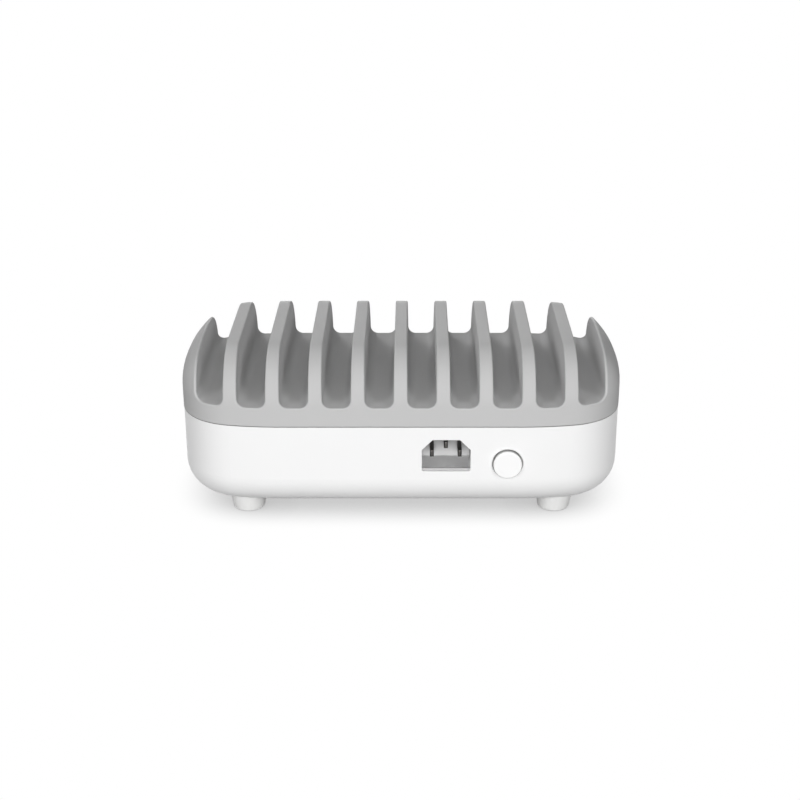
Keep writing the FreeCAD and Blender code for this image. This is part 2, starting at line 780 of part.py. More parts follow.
def bridge_rectifier():
    x, y = on_board(rectifier_place_shares)
    body = block(board_size(rectifier_shares, rectifier_height), x, y, board_top_z + lead_height)
    legs = leads(rectifier_lead_count, rectifier_lead_pitch, x, y, lead_height + overrun)
    return body.fuse(legs).removeSplitter()


def heat_sink(length, shares):
    x, y = on_board(shares)
    plate = block((length, heat_sink_thickness, heat_sink_height), x, y, board_top_z)
    count = int((length - heat_sink_fin_thickness) // heat_sink_fin_pitch) + 1
    fin_y = y - heat_sink_thickness / 2 - heat_sink_fin_length / 2
    fin_size = (heat_sink_fin_thickness, heat_sink_fin_length, heat_sink_height)
    fin_places = [x + (i - (count - 1) / 2) * heat_sink_fin_pitch for i in range(count)]
    fins = [block(fin_size, fin_x, fin_y, board_top_z) for fin_x in fin_places]
    return plate.fuse(fins).removeSplitter()


def power_device(sink_shares):
    # A flat-backed power device against the plain side of its heat sink, on three leads
    x, sink_y = on_board(sink_shares)
    size = board_size(transistor_shares, transistor_height)
    y = sink_y + heat_sink_thickness / 2 + size[1] / 2
    body = block(size, x, y, board_top_z + transistor_rise)
    legs = leads(transistor_lead_count, transistor_lead_pitch, x, y, transistor_rise + overrun)
    return body.fuse(legs).removeSplitter()


def port_prism(x, growth, start_y, end_y):
    size = (port_shell_width + 2 * growth, end_y - start_y, port_shell_height + 2 * growth)
    prism = block(size, x, (start_y + end_y) / 2, port_z - size[2] / 2)
    return prism.makeFillet(port_shell_corner + growth, edges_along(prism, "y"))


def charging_port_shell(x):
    outside = port_prism(x, 0, port_board_y, port_shell_front_y)
    return outside.cut(port_prism(x, -port_shell_wall, port_board_y - overrun, port_shell_front_y + overrun))


def charging_port_tongue(x):
    # The moulded block at the back of the shell and the blade that carries the contacts
    block_growth = -port_shell_wall - port_block_clearance
    back = port_prism(x, block_growth, port_board_y, port_board_y + port_block_length)
    blade_end_y = port_shell_front_y - port_tongue_recess
    size = (port_tongue_thickness, blade_end_y - port_board_y, port_tongue_width)
    blade = block(size, x + port_tongue_offset, port_board_y + size[1] / 2, port_z - port_tongue_width / 2)
    return back.fuse(blade).removeSplitter()


def port_contacts():
    contacts = []
    end_y = port_shell_front_y - port_tongue_recess - contact_recess
    for x in port_places:
        face_x = x + port_tongue_offset - port_tongue_thickness / 2 - contact_thickness / 2
        for i in range(contact_count):
            z = port_z + (i - (contact_count - 1) / 2) * contact_pitch - contact_width / 2
            size = (contact_thickness, contact_length, contact_width)
            contacts.append(block(size, face_x, end_y - contact_length / 2, z))
    return Part.makeCompound(contacts)


def port_board():
    size = (port_board_length, board_thickness, port_board_height)
    board = block(size, 0, port_board_y - board_thickness / 2, port_z - port_board_height / 2)
    holes = [rod(fixing_pilot_radius, port_board_back_y - overrun, port_board_y + overrun, x, z)
             for x, z in port_post_places()]
    return board.cut(holes)


def port_controller_chips():
    y = port_board_back_y - chip_size[1] / 2
    step = port_count * port_pitch / chip_count
    places = [(i - (chip_count - 1) / 2) * step for i in range(chip_count)]
    return Part.makeCompound([block(chip_size, x, y, port_z + chip_rise - chip_size[2] / 2) for x in places])


def wire_path(points):
    # Straight runs joined by arcs of the bend radius
    pieces = []
    start = points[0]
    for before, corner, after in zip(points, points[1:], points[2:]):
        back = (before - corner).normalize()
        onward = (after - corner).normalize()
        half_angle = back.getAngle(onward) / 2
        reach = wire_bend_radius / math.tan(half_angle)
        middle = (back + onward).normalize() * (wire_bend_radius / math.sin(half_angle) - wire_bend_radius)
        entry = corner + back * reach
        leave = corner + onward * reach
        pieces.append(Part.LineSegment(start, entry).toShape())
        pieces.append(Part.Arc(entry, corner + middle, leave).toShape())
        start = leave
    pieces.append(Part.LineSegment(start, points[-1]).toShape())
    return Part.Wire(pieces)


def wire(points):
    section = Part.Wire(Part.Circle(points[0], points[1] - points[0], wire_diameter / 2).toShape())
    return wire_path(points).makePipeShell([section], True, False)


def drop_to_board(x, start_y, z):
    # Straight back from a terminal, then down to the board
    turn_y = start_y + mains_wire_reach
    return wire([point(x, start_y, z), point(x, turn_y, z), point(x, turn_y, board_top_z)])


def live_wires():
    pin_x, pin_z = pin_places()["inlet_live_pin"]
    near_x = button_x - switch_terminal_spacing / 2
    far_x = button_x + switch_terminal_spacing / 2
    turn_y = max(pin_tail_y, switch_terminal_end_y) + live_wire_reach
    to_switch = wire([
        point(pin_x, pin_tail_y, pin_z),
        point(pin_x, turn_y, pin_z),
        point(near_x, turn_y, button_z),
        point(near_x, switch_terminal_end_y, button_z),
    ])
    to_board = drop_to_board(far_x, switch_terminal_end_y, button_z)
    return Part.makeCompound([to_switch, to_board])


def dc_wires():
    wires = []
    y = board_front_y - dc_wire_inset
    z = board_top_z + dc_wire_height
    for side in (-1, 1):
        x = dc_wire_x_share * board_length / 2 + side * dc_wire_spacing / 2
        wires.append(wire([point(x, y, board_top_z), point(x, y, z), point(x, port_board_back_y, z)]))
    return Part.makeCompound(wires)


def pieces():
    neutral_x, neutral_z = pin_places()["inlet_neutral_pin"]
    earth_x, earth_z = pin_places()["inlet_earth_pin"]
    nodes = {
        "lower_housing": lower_housing(),
        "slotted_cover": slotted_cover(),
        "case_screws": case_screws(),
        "fixing_screws": fixing_screws(),
        "inlet_body": inlet_body(),
        "button_cap": button_cap(),
        "switch_plunger": switch_plunger(),
        "button_spring": button_spring(),
        "switch_body": switch_body(),
        "switch_terminals": switch_terminals(),
        "power_board": power_board(),
        "transformer_core": transformer_core(),
        "transformer_winding": transformer_winding(),
        "bulk_capacitors": bulk_capacitors(),
        "line_filter_choke": line_filter_choke(),
        "safety_capacitor": rounded_box(
            board_size(safety_capacitor_shares, safety_capacitor_height),
            safety_capacitor_round, safety_capacitor_place_shares),
        "mains_fuse": rounded_box(board_size(fuse_shares, fuse_height), fuse_round, fuse_place_shares),
        "bridge_rectifier": bridge_rectifier(),
        "primary_heat_sink": heat_sink(primary_sink_length, primary_sink_place_shares),
        "switching_transistor": power_device(primary_sink_place_shares),
        "secondary_heat_sink": heat_sink(secondary_sink_length, secondary_sink_place_shares),
        "output_rectifier": power_device(secondary_sink_place_shares),
        "output_capacitors": output_capacitors(),
        "port_board": port_board(),
        "port_contacts": port_contacts(),
        "port_controller_chips": port_controller_chips(),
        "live_wires": live_wires(),
        "neutral_wire": drop_to_board(neutral_x, pin_tail_y, neutral_z),
        "earth_wire": drop_to_board(earth_x, pin_tail_y, earth_z),
        "dc_wires": dc_wires(),
    }
    for name, (x, y) in foot_places().items():
        nodes[name] = foot(x, y)
    for name, (x, z) in pin_places().items():
        nodes[name] = inlet_pin(x, z)
    for number, x in enumerate(port_places, start=1):
        nodes[f"charging_port_shell_{number:02d}"] = charging_port_shell(x)
        nodes[f"charging_port_tongue_{number:02d}"] = charging_port_tongue(x)
    return nodes


os.makedirs("parts", exist_ok=True)
for node, shape in pieces().items():
    print(node, "solids", len(shape.Solids), "volume", round(shape.Volume), "valid", shape.isValid())
    shape.exportStep(f"parts/{node}.step")
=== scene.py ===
import bpy
import math
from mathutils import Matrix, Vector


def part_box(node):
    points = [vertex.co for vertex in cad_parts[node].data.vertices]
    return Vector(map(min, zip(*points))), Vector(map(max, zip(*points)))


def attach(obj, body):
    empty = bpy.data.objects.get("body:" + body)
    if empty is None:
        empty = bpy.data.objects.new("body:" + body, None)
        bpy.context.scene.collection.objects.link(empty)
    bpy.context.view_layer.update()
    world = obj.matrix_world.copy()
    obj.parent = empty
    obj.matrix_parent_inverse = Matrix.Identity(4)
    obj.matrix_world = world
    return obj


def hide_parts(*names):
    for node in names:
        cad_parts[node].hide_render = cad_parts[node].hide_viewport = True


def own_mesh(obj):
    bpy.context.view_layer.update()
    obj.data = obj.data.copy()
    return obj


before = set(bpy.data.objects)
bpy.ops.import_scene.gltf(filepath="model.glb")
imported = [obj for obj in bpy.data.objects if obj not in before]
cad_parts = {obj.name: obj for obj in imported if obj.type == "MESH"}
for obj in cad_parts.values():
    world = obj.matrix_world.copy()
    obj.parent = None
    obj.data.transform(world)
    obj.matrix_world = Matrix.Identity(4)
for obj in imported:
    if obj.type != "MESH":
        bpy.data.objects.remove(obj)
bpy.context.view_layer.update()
print("frame loaded,", len(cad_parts), "nodes")

mm = 0.001


def hexColor(code):
    # sRGB hex to the linear numbers that a shader socket takes
    channels = [int(code[i:i + 2], 16) / 255 for i in (1, 3, 5)]
    linear = [c / 12.92 if c <= 0.04045 else ((c + 0.055) / 1.055) ** 2.4 for c in channels]
    return (*linear, 1.0)


def addNode(tree, kind, settings={}, values={}, links={}):
    node = tree.nodes.new(kind)
    for name, value in settings.items():
        setattr(node, name, value)
    for socket, value in values.items():
        node.inputs[socket].default_value = value
    for socket, source in links.items():
        tree.links.new(source, node.inputs[socket])
    return node


def perMetre(sizeMm):
    return 1000 / sizeMm  # texture scale that gives cells of this size in Object coordinates


waveTurn = 1 / 3.183  # a wave texture at scale 1 repeats every 0.314 units


def newMaterial(name):
    material = bpy.data.materials.new(name)
    material.use_nodes = True
    material.node_tree.nodes.clear()
    return material, material.node_tree


patternLook = {"driftDetail": 4.0, "driftRoughness": 0.55, "driftLow": 0.3, "driftHigh": 0.7,
               "grainDetail": 2.0, "grainRoughness": 0.6, "bandDistortion": 0.4, "bandDetail": 1.0}


def surfaceMaterial(name, look):
    # Two close tones drift over the piece, the sheen drifts with them, and a fine grain lifts the surface
    # Real grain and drawn lines are finer, and are drawn as coarse as they need to show
    material, tree = newMaterial(name)
    place = addNode(tree, "ShaderNodeTexCoord").outputs["Object"]
    drift = addNode(tree, "ShaderNodeTexNoise", {}, {
        "Scale": perMetre(look["driftMm"]), "Detail": patternLook["driftDetail"],
        "Roughness": patternLook["driftRoughness"]}, {"Vector": place})
    tone = addNode(tree, "ShaderNodeMix", {"data_type": "RGBA"}, {
        "A": hexColor(look["color"]), "B": hexColor(look["deepColor"])}, {"Factor": drift.outputs["Fac"]})
    toneOut = tone.outputs["Result"]
    sheen = addNode(tree, "ShaderNodeMapRange", {}, {
        "From Min": patternLook["driftLow"], "From Max": patternLook["driftHigh"],
        "To Min": look["roughness"] - look["roughSpan"],
        "To Max": look["roughness"] + look["roughSpan"]}, {"Value": drift.outputs["Fac"]})
    grain = addNode(tree, "ShaderNodeTexNoise", {}, {
        "Scale": perMetre(look["grainMm"]), "Detail": patternLook["grainDetail"],
        "Roughness": patternLook["grainRoughness"]}, {"Vector": place})
    bump = addNode(tree, "ShaderNodeBump", {}, {
        "Strength": look["grainStrength"], "Distance": look["grainDepthMm"] * mm}, {
        "Height": grain.outputs["Fac"]})
    if "bandMm" in look:  # drawn, wound or extruded lines across the named axis
        bands = addNode(tree, "ShaderNodeTexWave", {"bands_direction": look["bandAxis"]}, {
            "Scale": perMetre(look["bandMm"]) * waveTurn, "Distortion": patternLook["bandDistortion"],
            "Detail": patternLook["bandDetail"]}, {"Vector": place})
        bandTone = addNode(tree, "ShaderNodeMix", {"data_type": "RGBA"}, {
            "B": hexColor(look["bandColor"])}, {"Factor": bands.outputs["Fac"], "A": toneOut})
        toneOut = bandTone.outputs["Result"]
        bump = addNode(tree, "ShaderNodeBump", {}, {
            "Strength": look["bandStrength"], "Distance": look["bandDepthMm"] * mm}, {
            "Height": bands.outputs["Fac"], "Normal": bump.outputs["Normal"]})
    if "pastMm" in look:  # another tone past this place on the named axis, such as a can's bare end; it also carries painted shade in gaps and recesses
        along = addNode(tree, "ShaderNodeSeparateXYZ", {}, {}, {"Vector": place}).outputs[look["pastAxis"]]
        past = addNode(tree, "ShaderNodeMapRange", {}, {
            "From Min": look["pastMm"] * mm, "From Max": (look["pastMm"] + look["pastSpanMm"]) * mm}, {
            "Value": along})
        pastTone = addNode(tree, "ShaderNodeMix", {"data_type": "RGBA"}, {
            "B": hexColor(look["pastColor"])}, {"Factor": past.outputs["Result"], "A": toneOut})
        toneOut = pastTone.outputs["Result"]
    shader = addNode(tree, "ShaderNodeBsdfPrincipled", {}, {"Metallic": look.get("metallic", 0.0)}, {
        "Base Color": toneOut, "Roughness": sheen.outputs["Result"], "Normal": bump.outputs["Normal"]})
    if "ior" in look:
        shader.inputs["IOR"].default_value = look["ior"]
    if "specular" in look:
        shader.inputs["Specular IOR Level"].default_value = look["specular"]
    if "coat" in look:
        shader.inputs["Coat Weight"].default_value = look["coat"]
        shader.inputs["Coat Roughness"].default_value = look["coatRoughness"]
    addNode(tree, "ShaderNodeOutputMaterial", {}, {}, {"Surface": shader.outputs["BSDF"]})
    return material


# Camera
cameraLook = {"lens": 65.9, "sensor": 36.0, "shift": -0.0165,
              "place": (0.0062, -0.7202, 0.3348), "tilt": 68.0}
cameraData = bpy.data.cameras.new("photoCamera")
cameraData.lens = cameraLook["lens"]
cameraData.sensor_width = cameraLook["sensor"]
cameraData.shift_x = cameraLook["shift"]
camera = bpy.data.objects.new("photoCamera", cameraData)
camera.location = cameraLook["place"]
camera.rotation_euler = (math.radians(cameraLook["tilt"]), 0, 0)
bpy.context.scene.collection.objects.link(camera)
bpy.context.scene.camera = camera
print("camera set")

# Finishes
seamShadeStart = 51.75  # millimetres; the wall ends just above, and its tongue above this is dark grey: painted shade of the seam's gap
whiteAbs = surfaceMaterial("white_moulded_ABS", {  # satin white shell, soft sheen, almost no mottling
    "color": "#FAFAFA", "deepColor": "#F8F8F8", "driftMm": 60,
    "roughness": 0.38, "roughSpan": 0.03, "ior": 1.53, "specular": 0.2,
    "grainMm": 0.9, "grainStrength": 0.04, "grainDepthMm": 0.05,
    # the tongue's dark grey is painted shade of the seam's gap
    "pastAxis": "Z", "pastMm": seamShadeStart, "pastSpanMm": 0.1, "pastColor": "#6A6A69"})
greyAbs = surfaceMaterial("grey_spark_eroded_ABS", {  # matte grey, fine even texture, no clear highlight
    "color": "#CACACA", "deepColor": "#C6C6C6", "driftMm": 45,
    "roughness": 0.78, "roughSpan": 0.04, "ior": 1.53, "specular": 0.06,
    "grainMm": 0.7, "grainStrength": 0.10, "grainDepthMm": 0.05})
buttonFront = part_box("button_cap")[0].y / mm
sideShadeStart = 1.0  # millimetres in from the face; the button's side past this is grey: painted shade of its gap
buttonAbs = surfaceMaterial("white_polished_ABS", {  # brighter and glossier than the shell
    "color": "#FFFFFF", "deepColor": "#FDFDFD", "driftMm": 12,
    "roughness": 0.22, "roughSpan": 0.03, "ior": 1.53, "coat": 1.0, "coatRoughness": 0.12,
    "grainMm": 0.9, "grainStrength": 0.02, "grainDepthMm": 0.03,
    # the side's grey is painted shade of the gap round the button
    "pastAxis": "Y", "pastMm": buttonFront + sideShadeStart, "pastSpanMm": 1.0, "pastColor": "#B8B8B7"})
whiteTpe = surfaceMaterial("white_moulded_TPE", {  # soft white foot, dull, a little greyer than the shell
    "color": "#F0F0EF", "deepColor": "#E9E9E8", "driftMm": 9,
    "roughness": 0.66, "roughSpan": 0.05, "ior": 1.5,
    "grainMm": 0.6, "grainStrength": 0.16, "grainDepthMm": 0.06})
inletWall = 1.7  # the socket's wall in millimetres, which lies below its recess
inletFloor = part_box("inlet_body")[0].z / mm + inletWall
inletShadeStart = 1.9  # millimetres above the floor; above this the recess darkens upwards: painted shade
inletNylon = surfaceMaterial("pale_glass_filled_nylon", {  # pale dull socket with slight fibre mottling
    "color": "#E6E6E6", "deepColor": "#DEDEDE", "driftMm": 5,
    "roughness": 0.5, "roughSpan": 0.06, "ior": 1.53,
    "grainMm": 0.5, "grainStrength": 0.12, "grainDepthMm": 0.05,
    # the grey towards the recess's top is painted shade
    "pastAxis": "Z", "pastMm": inletFloor + inletShadeStart, "pastSpanMm": 6.5, "pastColor": "#A2A2A2"})
sillShadeNylon = surfaceMaterial("glass_filled_nylon_painted_shade", {  # the socket's lip, the same pale plastic toned grey: painted shade
    "color": "#BEBEBE", "deepColor": "#B6B6B6", "driftMm": 5,
    "roughness": 0.5, "roughSpan": 0.06, "ior": 1.53,
    "grainMm": 0.5, "grainStrength": 0.12, "grainDepthMm": 0.05})
nickelPaintedShade = surfaceMaterial("nickel_plated_brass", {  # dull blades, the plating darkened as it looks in the recess: painted shade
    "color": "#5E5C5A", "deepColor": "#545250", "driftMm": 3,
    "roughness": 0.46, "roughSpan": 0.05, "metallic": 1.0,
    "grainMm": 0.4, "grainStrength": 0.06, "grainDepthMm": 0.02})
zincSteel = surfaceMaterial("zinc_plated_steel", {  # pale grey screw heads with a faint cloudy passivation
    "color": "#C4C6C8", "deepColor": "#B4B7B8", "driftMm": 1.5,
    "roughness": 0.36, "roughSpan": 0.07, "metallic": 1.0,
    "grainMm": 0.3, "grainStrength": 0.08, "grainDepthMm": 0.02})
springSteel = surfaceMaterial("drawn_spring_steel", {  # grey wire with fine drawing marks
    "color": "#A2A2A4", "deepColor": "#86868A", "driftMm": 1.2,
    "roughness": 0.4, "roughSpan": 0.06, "metallic": 1.0,
    "grainMm": 0.3, "grainStrength": 0.1, "grainDepthMm": 0.02})
shellSteel = surfaceMaterial("tin_plated_steel", {  # bright folded sheet of ports and terminals
    "color": "#CFCFD0", "deepColor": "#BFC0C2", "driftMm": 2.5,
    "roughness": 0.28, "roughSpan": 0.06, "metallic": 1.0,
    "grainMm": 0.4, "grainStrength": 0.06, "grainDepthMm": 0.02})
goldContact = surfaceMaterial("gold_flashed_copper", {  # thin warm contact strips
    "color": "#D9B25A", "deepColor": "#C79C45", "driftMm": 1.5,
    "roughness": 0.27, "roughSpan": 0.04, "metallic": 1.0,
    "grainMm": 0.3, "grainStrength": 0.05, "grainDepthMm": 0.01})
tongueLcp = surfaceMaterial("white_liquid_crystal_polymer", {  # off-white tongue, dull, faint flow marks
    "color": "#E6E5E0", "deepColor": "#DAD9D3", "driftMm": 2,
    "roughness": 0.48, "roughSpan": 0.05, "ior": 1.6,
    "grainMm": 0.4, "grainStrength": 0.06, "grainDepthMm": 0.02})
blackNylon = surfaceMaterial("black_moulded_nylon", {  # switch and fuse, dull black
    "color": "#2A2A2D", "deepColor": "#202023", "driftMm": 6,
    "roughness": 0.5, "roughSpan": 0.06, "ior": 1.53,
    "grainMm": 0.5, "grainStrength": 0.12, "grainDepthMm": 0.04})
blackEpoxy = surfaceMaterial("black_moulded_epoxy", {  # chips, rectifiers and transistor, sandy matte black
    "color": "#303033", "deepColor": "#242427", "driftMm": 3,
    "roughness": 0.62, "roughSpan": 0.05, "ior": 1.55,
    "grainMm": 0.35, "grainStrength": 0.2, "grainDepthMm": 0.03})
solderMask = surfaceMaterial("green_solder_mask_on_FR4", {  # glossy green, faint lines of glass weave
    "color": "#1E6B3C", "deepColor": "#195C33", "driftMm": 8,
    "roughness": 0.3, "roughSpan": 0.05, "ior": 1.55,
    "grainMm": 0.6, "grainStrength": 0.05, "grainDepthMm": 0.02,
    "bandMm": 1.2, "bandAxis": "X", "bandColor": "#227544", "bandStrength": 0.05, "bandDepthMm": 0.02})
ferrite = surfaceMaterial("sintered_ferrite", {  # charcoal ceramic with a ground, slightly speckled face
    "color": "#414145", "deepColor": "#333337", "driftMm": 2,
    "roughness": 0.58, "roughSpan": 0.08, "ior": 1.9,
    "grainMm": 0.4, "grainStrength": 0.2, "grainDepthMm": 0.04})
windingTape = surfaceMaterial("amber_polyester_tape", {  # amber film, lines where its edges overlap
    "color": "#DDB32E", "deepColor": "#C99A22", "driftMm": 6,
    "roughness": 0.32, "roughSpan": 0.06, "ior": 1.6,
    "grainMm": 0.8, "grainStrength": 0.06, "grainDepthMm": 0.03,
    "bandMm": 7.0, "bandAxis": "Z", "bandColor": "#C08F1C", "bandStrength": 0.15, "bandDepthMm": 0.06})
bulkTop, outputTop = [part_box(name)[1].z / mm for name in ("bulk_capacitors", "output_capacitors")]
canBareEnd = 0.6  # the sleeve ends this far below the can's top, in millimetres
bulkSleeve = surfaceMaterial("dark_blue_PVC_shrink_sleeve", {  # smooth dark film below a bare metal end
    "color": "#2B3157", "deepColor": "#232847", "driftMm": 7,
    "roughness": 0.3, "roughSpan": 0.05, "ior": 1.53,
    "grainMm": 0.8, "grainStrength": 0.06, "grainDepthMm": 0.03,
    "pastAxis": "Z", "pastMm": bulkTop - canBareEnd, "pastSpanMm": 0.1, "pastColor": "#C9CBCD"})
outputSleeve = surfaceMaterial("black_PVC_shrink_sleeve", {  # the same film in near black
    "color": "#333740", "deepColor": "#292C34", "driftMm": 5,
    "roughness": 0.3, "roughSpan": 0.05, "ior": 1.53,
    "grainMm": 0.8, "grainStrength": 0.06, "grainDepthMm": 0.03,
    "pastAxis": "Z", "pastMm": outputTop - canBareEnd, "pastSpanMm": 0.1, "pastColor": "#C9CBCD"})
enamelWire = surfaceMaterial("enamelled_copper_winding", {  # reddish varnished turns laid side by side
    "color": "#A85A32", "deepColor": "#8E4826", "driftMm": 4,
    "roughness": 0.28, "roughSpan": 0.05, "ior": 1.6,
    "grainMm": 0.6, "grainStrength": 0.05, "grainDepthMm": 0.03,
    "bandMm": 1.1, "bandAxis": "X", "bandColor": "#6E3519", "bandStrength": 0.5, "bandDepthMm": 0.25})
yellowCase = surfaceMaterial("yellow_flame_retardant_PBT", {  # film capacitor's opaque moulded case
    "color": "#E3BC3A", "deepColor": "#D6AC2C", "driftMm": 6,
    "roughness": 0.45, "roughSpan": 0.05, "ior": 1.55,
    "grainMm": 0.6, "grainStrength": 0.08, "grainDepthMm": 0.03})
sinkAluminium = surfaceMaterial("extruded_aluminium", {  # pale metal with fine lines along the extrusion
    "color": "#CDCFD1", "deepColor": "#BBBEC1", "driftMm": 8,
    "roughness": 0.38, "roughSpan": 0.06, "metallic": 1.0,
    "grainMm": 0.5, "grainStrength": 0.05, "grainDepthMm": 0.02,
    "bandMm": 0.8, "bandAxis": "X", "bandColor": "#C2C5C8", "bandStrength": 0.12, "bandDepthMm": 0.03})


def insulation(name, color, deepColor):
    # extruded PVC: smooth, slightly waxy, a faint waviness along the wire
    return surfaceMaterial(name, {
        "color": color, "deepColor": deepColor, "driftMm": 6,
        "roughness": 0.4, "roughSpan": 0.05, "ior": 1.53,
        "grainMm": 1.2, "grainStrength": 0.1, "grainDepthMm": 0.05})


brownPvc = insulation("brown_extruded_PVC", "#6E4A33", "#5F3E2A")
bluePvc = insulation("blue_extruded_PVC", "#3A66B8", "#305AA8")
greenPvc = insulation("green_extruded_PVC", "#7FB23C", "#6FA030")
redPvc = insulation("red_extruded_PVC", "#B8322C", "#A52923")
print("finishes made")


def dress(material, *nodeNames):
    for nodeName in nodeNames:
        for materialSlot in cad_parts[nodeName].material_slots:
            materialSlot.material = material


portNumbers = ["%02d" % number for number in range(1, 11)]
dress(whiteAbs, "lower_housing")
dress(greyAbs, "slotted_cover")
dress(buttonAbs, "button_cap")
dress(whiteTpe, "rear_left_foot", "rear_right_foot", "front_left_foot", "front_right_foot")
dress(inletNylon, "inlet_body")
dress(nickelPaintedShade, "inlet_live_pin", "inlet_neutral_pin", "inlet_earth_pin")
dress(zincSteel, "case_screws", "fixing_screws")
dress(springSteel, "button_spring")
dress(blackNylon, "switch_body", "switch_plunger", "mains_fuse")
dress(shellSteel, "switch_terminals", *["charging_port_shell_" + number for number in portNumbers])
dress(tongueLcp, *["charging_port_tongue_" + number for number in portNumbers])
dress(goldContact, "port_contacts")
dress(solderMask, "power_board", "port_board")
dress(blackEpoxy, "port_controller_chips", "bridge_rectifier", "output_rectifier", "switching_transistor")
dress(ferrite, "transformer_core")
dress(windingTape, "transformer_winding")
dress(bulkSleeve, "bulk_capacitors")
dress(outputSleeve, "output_capacitors")
dress(enamelWire, "line_filter_choke")
dress(yellowCase, "safety_capacitor")
dress(sinkAluminium, "primary_heat_sink", "secondary_heat_sink")
dress(brownPvc, "live_wires")
dress(bluePvc, "neutral_wire")
dress(greenPvc, "earth_wire")
dress(redPvc, "dc_wires")
print("nodes dressed")


def selectEdges(piece, test):
    bpy.ops.object.mode_set(mode="EDIT")
    bpy.ops.mesh.select_mode(type="EDGE")
    bpy.ops.mesh.select_all(action="DESELECT")
    bpy.ops.object.mode_set(mode="OBJECT")
    for edge in piece.data.edges:
        edge.select = test(*[piece.data.vertices[corner].co for corner in edge.vertices])
    bpy.ops.object.mode_set(mode="EDIT")


# Front sill of the inlet: the lower lip of its moulding, seen in the opening
sillLook = {"width": 24.1 * mm, "height": 1.0 * mm, "shellWall": 2.5 * mm, "recess": 1.6 * mm,
            "corner": 0.7 * mm, "cornerSteps": 8, "edge": 0.25 * mm, "edgeSteps": 4,
            "frontReach": 0.1 * mm, "smoothAngle": 30}
inletLow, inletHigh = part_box("inlet_body")
sillDepth = sillLook["shellWall"] - sillLook["recess"]
sillMiddle = inletLow.z + inletWall * mm + sillLook["height"] / 2
bpy.ops.object.select_all(action="DESELECT")
bpy.ops.mesh.primitive_cube_add(
    size=1, location=((inletLow.x + inletHigh.x) / 2, inletLow.y - sillDepth / 2, sillMiddle),
    scale=(sillLook["width"], sillDepth, sillLook["height"]))
sill = bpy.context.object
sill.name = "inletFrontSill"
bpy.ops.object.transform_apply(location=True, rotation=True, scale=True)
selectEdges(sill, lambda a, b: abs(a.y - b.y) > sillDepth / 2 and max(a.z, b.z) < sillMiddle)
bpy.ops.mesh.bevel(offset=sillLook["corner"], segments=sillLook["cornerSteps"], affect="EDGES")
bpy.ops.object.mode_set(mode="OBJECT")
sillFront = min(vertex.co.y for vertex in sill.data.vertices) + sillLook["frontReach"]
selectEdges(sill, lambda a, b: (
    max(a.y, b.y) < sillFront and abs(a.x - b.x) > sillDepth and min(a.z, b.z) > sillMiddle))
bpy.ops.mesh.bevel(offset=sillLook["edge"], segments=sillLook["edgeSteps"], affect="EDGES")
bpy.ops.object.mode_set(mode="OBJECT")
bpy.ops.object.shade_smooth_by_angle(angle=math.radians(sillLook["smoothAngle"]))
sill.data.materials.append(sillShadeNylon)
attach(sill, "station")
print("inlet sill shaped")

# Return spring behind the button: one round wire wound between the switch and the button's flange
springLook = {"wire": 0.95 * mm, "turns": 2.75, "sides": 12, "stepsPerTurn": 40, "smoothAngle": 40}
springLow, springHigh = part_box("button_spring")
springMiddle = (springLow + springHigh) / 2
springRadius = (springHigh.x - springLow.x - springLook["wire"]) / 2
springPitch = (springHigh.y - springLow.y - springLook["wire"]) / springLook["turns"]
bpy.ops.object.select_all(action="DESELECT")
bpy.ops.mesh.primitive_circle_add(
    vertices=springLook["sides"], radius=springLook["wire"] / 2, fill_type="NOTHING",
    location=(springRadius, 0, 0), rotation=(math.pi / 2, 0, 0))
spring = bpy.context.object
spring.name = "buttonCoilSpring"
bpy.ops.object.transform_apply(location=True, rotation=True, scale=True)
coil = spring.modifiers.new("coil", "SCREW")
coil.axis = "Z"
coil.angle = math.tau * springLook["turns"]
coil.screw_offset = springPitch * springLook["turns"]
coil.steps = coil.render_steps = int(springLook["stepsPerTurn"] * springLook["turns"])
bpy.ops.object.modifier_apply(modifier=coil.name)
bpy.ops.object.mode_set(mode="EDIT")
bpy.ops.mesh.select_all(action="SELECT")
bpy.ops.mesh.fill_holes(sides=springLook["sides"])
bpy.ops.mesh.normals_make_consistent(inside=False)
bpy.ops.object.mode_set(mode="OBJECT")
spring.rotation_euler = (-math.pi / 2, 0, 0)  # the winding axis turns from up to the button's own direction
spring.location = (springMiddle.x, springLow.y + springLook["wire"] / 2, springMiddle.z)
bpy.ops.object.transform_apply(location=True, rotation=True, scale=True)
bpy.ops.object.shade_smooth_by_angle(angle=math.radians(springLook["smoothAngle"]))
spring.data.materials.append(springSteel)
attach(spring, "station")
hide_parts("button_spring")
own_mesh(spring)
print("spring wound")

# Floor and light
stageLook = {"floorSize": 12.0, "seenColor": "#FFFFFF", "bounceColor": "#909090", "ambient": 0.05,
             "shadeReach": 18 * mm, "shadeDepth": 0.58, "shadeSamples": 16}


def seenFactor(tree):
    # 1 for rays from the camera, mirrors and glass, 0 for the rays that carry light
    paths = addNode(tree, "ShaderNodeLightPath")
    first = addNode(tree, "ShaderNodeMath", {"operation": "MAXIMUM"}, {}, {
        0: paths.outputs["Is Camera Ray"], 1: paths.outputs["Is Glossy Ray"]})
    both = addNode(tree, "ShaderNodeMath", {"operation": "MAXIMUM"}, {}, {
        0: first.outputs[0], 1: paths.outputs["Is Transmission Ray"]})
    return both.outputs[0]


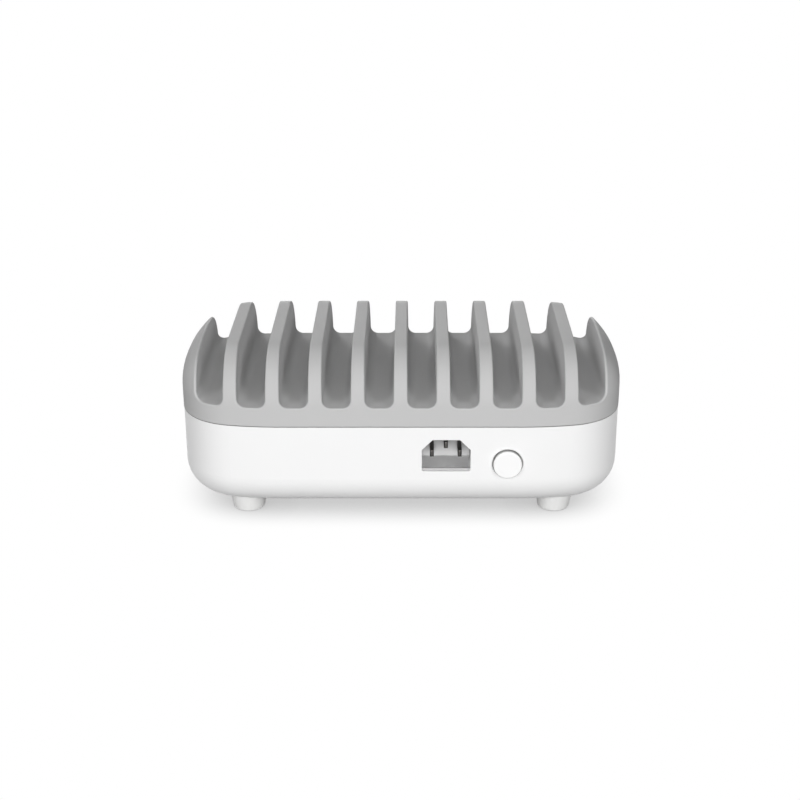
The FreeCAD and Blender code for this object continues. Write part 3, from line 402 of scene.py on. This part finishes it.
bpy.ops.object.select_all(action="DESELECT")
bpy.ops.mesh.primitive_plane_add(size=stageLook["floorSize"])
floor = bpy.context.object
floor.name = "studioFloor"
floorPaper, floorTree = newMaterial("white_paper_sweep")
nearShade = addNode(floorTree, "ShaderNodeAmbientOcclusion", {"samples": stageLook["shadeSamples"]}, {
    "Distance": stageLook["shadeReach"]})  # the shadow close to the part
hidden = addNode(floorTree, "ShaderNodeMath", {"operation": "SUBTRACT"}, {0: 1.0}, {
    1: nearShade.outputs["AO"]})
deepest = addNode(floorTree, "ShaderNodeMath", {"operation": "MULTIPLY"}, {}, {
    0: hidden.outputs[0], 1: hidden.outputs[0]})
shadeTone = addNode(floorTree, "ShaderNodeMapRange", {}, {
    "To Min": 1.0, "To Max": 1 - stageLook["shadeDepth"]}, {"Value": deepest.outputs[0]})
floorSeen = addNode(floorTree, "ShaderNodeEmission", {}, {"Color": hexColor(stageLook["seenColor"])}, {
    "Strength": shadeTone.outputs[0]})
floorMatte = addNode(floorTree, "ShaderNodeBsdfDiffuse", {}, {"Color": hexColor(stageLook["bounceColor"])})
floorMix = addNode(floorTree, "ShaderNodeMixShader", {}, {}, {
    "Fac": seenFactor(floorTree), 1: floorMatte.outputs[0], 2: floorSeen.outputs[0]})
fromBelow = addNode(floorTree, "ShaderNodeNewGeometry").outputs["Backfacing"]  # clear, to see the base
floorClear = addNode(floorTree, "ShaderNodeBsdfTransparent")
floorTop = addNode(floorTree, "ShaderNodeMixShader", {}, {}, {
    "Fac": fromBelow, 1: floorMix.outputs[0], 2: floorClear.outputs[0]})
addNode(floorTree, "ShaderNodeOutputMaterial", {}, {}, {"Surface": floorTop.outputs[0]})
floor.data.materials.append(floorPaper)

world = bpy.data.worlds.new("studioWorld")
world.use_nodes = True
world.node_tree.nodes.clear()
ambientSky = addNode(world.node_tree, "ShaderNodeBackground", {}, {
    "Color": hexColor(stageLook["seenColor"]), "Strength": stageLook["ambient"]})
whiteSky = addNode(world.node_tree, "ShaderNodeBackground", {}, {
    "Color": hexColor(stageLook["seenColor"]), "Strength": 1.0})
skyMix = addNode(world.node_tree, "ShaderNodeMixShader", {}, {}, {
    "Fac": seenFactor(world.node_tree), 1: ambientSky.outputs[0], 2: whiteSky.outputs[0]})
addNode(world.node_tree, "ShaderNodeOutputWorld", {}, {}, {"Surface": skyMix.outputs[0]})
bpy.context.scene.world = world

stripLook = {"place": (0.0, -0.652, 0.216), "tilt": 74, "watts": 0.76, "width": 0.20, "height": 0.42}
stripData = bpy.data.lights.new("frontStrip", "AREA")
stripData.shape = "RECTANGLE"
stripData.size, stripData.size_y = stripLook["width"], stripLook["height"]
stripData.energy = stripLook["watts"]
strip = bpy.data.objects.new("frontStrip", stripData)
strip.location = stripLook["place"]
strip.rotation_euler = (math.radians(stripLook["tilt"]), 0, 0)
strip.visible_camera = False
bpy.context.scene.collection.objects.link(strip)

lampLooks = [  # azimuth 0 is the camera's side; a wide spread is a large softbox
    {"name": "frontBox", "azimuth": 0, "elevation": 12, "strength": 1.35, "spread": 30},
    {"name": "leftBox", "azimuth": -42, "elevation": 30, "strength": 0.69, "spread": 20},
    {"name": "rightBox", "azimuth": 42, "elevation": 30, "strength": 0.73, "spread": 20},
    {"name": "backLeftBox", "azimuth": -150, "elevation": 30, "strength": 1.08, "spread": 20},
    {"name": "backBox", "azimuth": 180, "elevation": 4, "strength": 1.60, "spread": 12},
]
for lampLook in lampLooks:
    lampData = bpy.data.lights.new(lampLook["name"], "SUN")
    lampData.energy = lampLook["strength"]
    lampData.angle = math.radians(lampLook["spread"])
    lamp = bpy.data.objects.new(lampLook["name"], lampData)
    lamp.rotation_euler = (math.radians(90 - lampLook["elevation"]), 0, math.radians(lampLook["azimuth"]))
    bpy.context.scene.collection.objects.link(lamp)
bpy.context.scene.view_settings.view_transform = "Standard"
print("stage and lamps set")
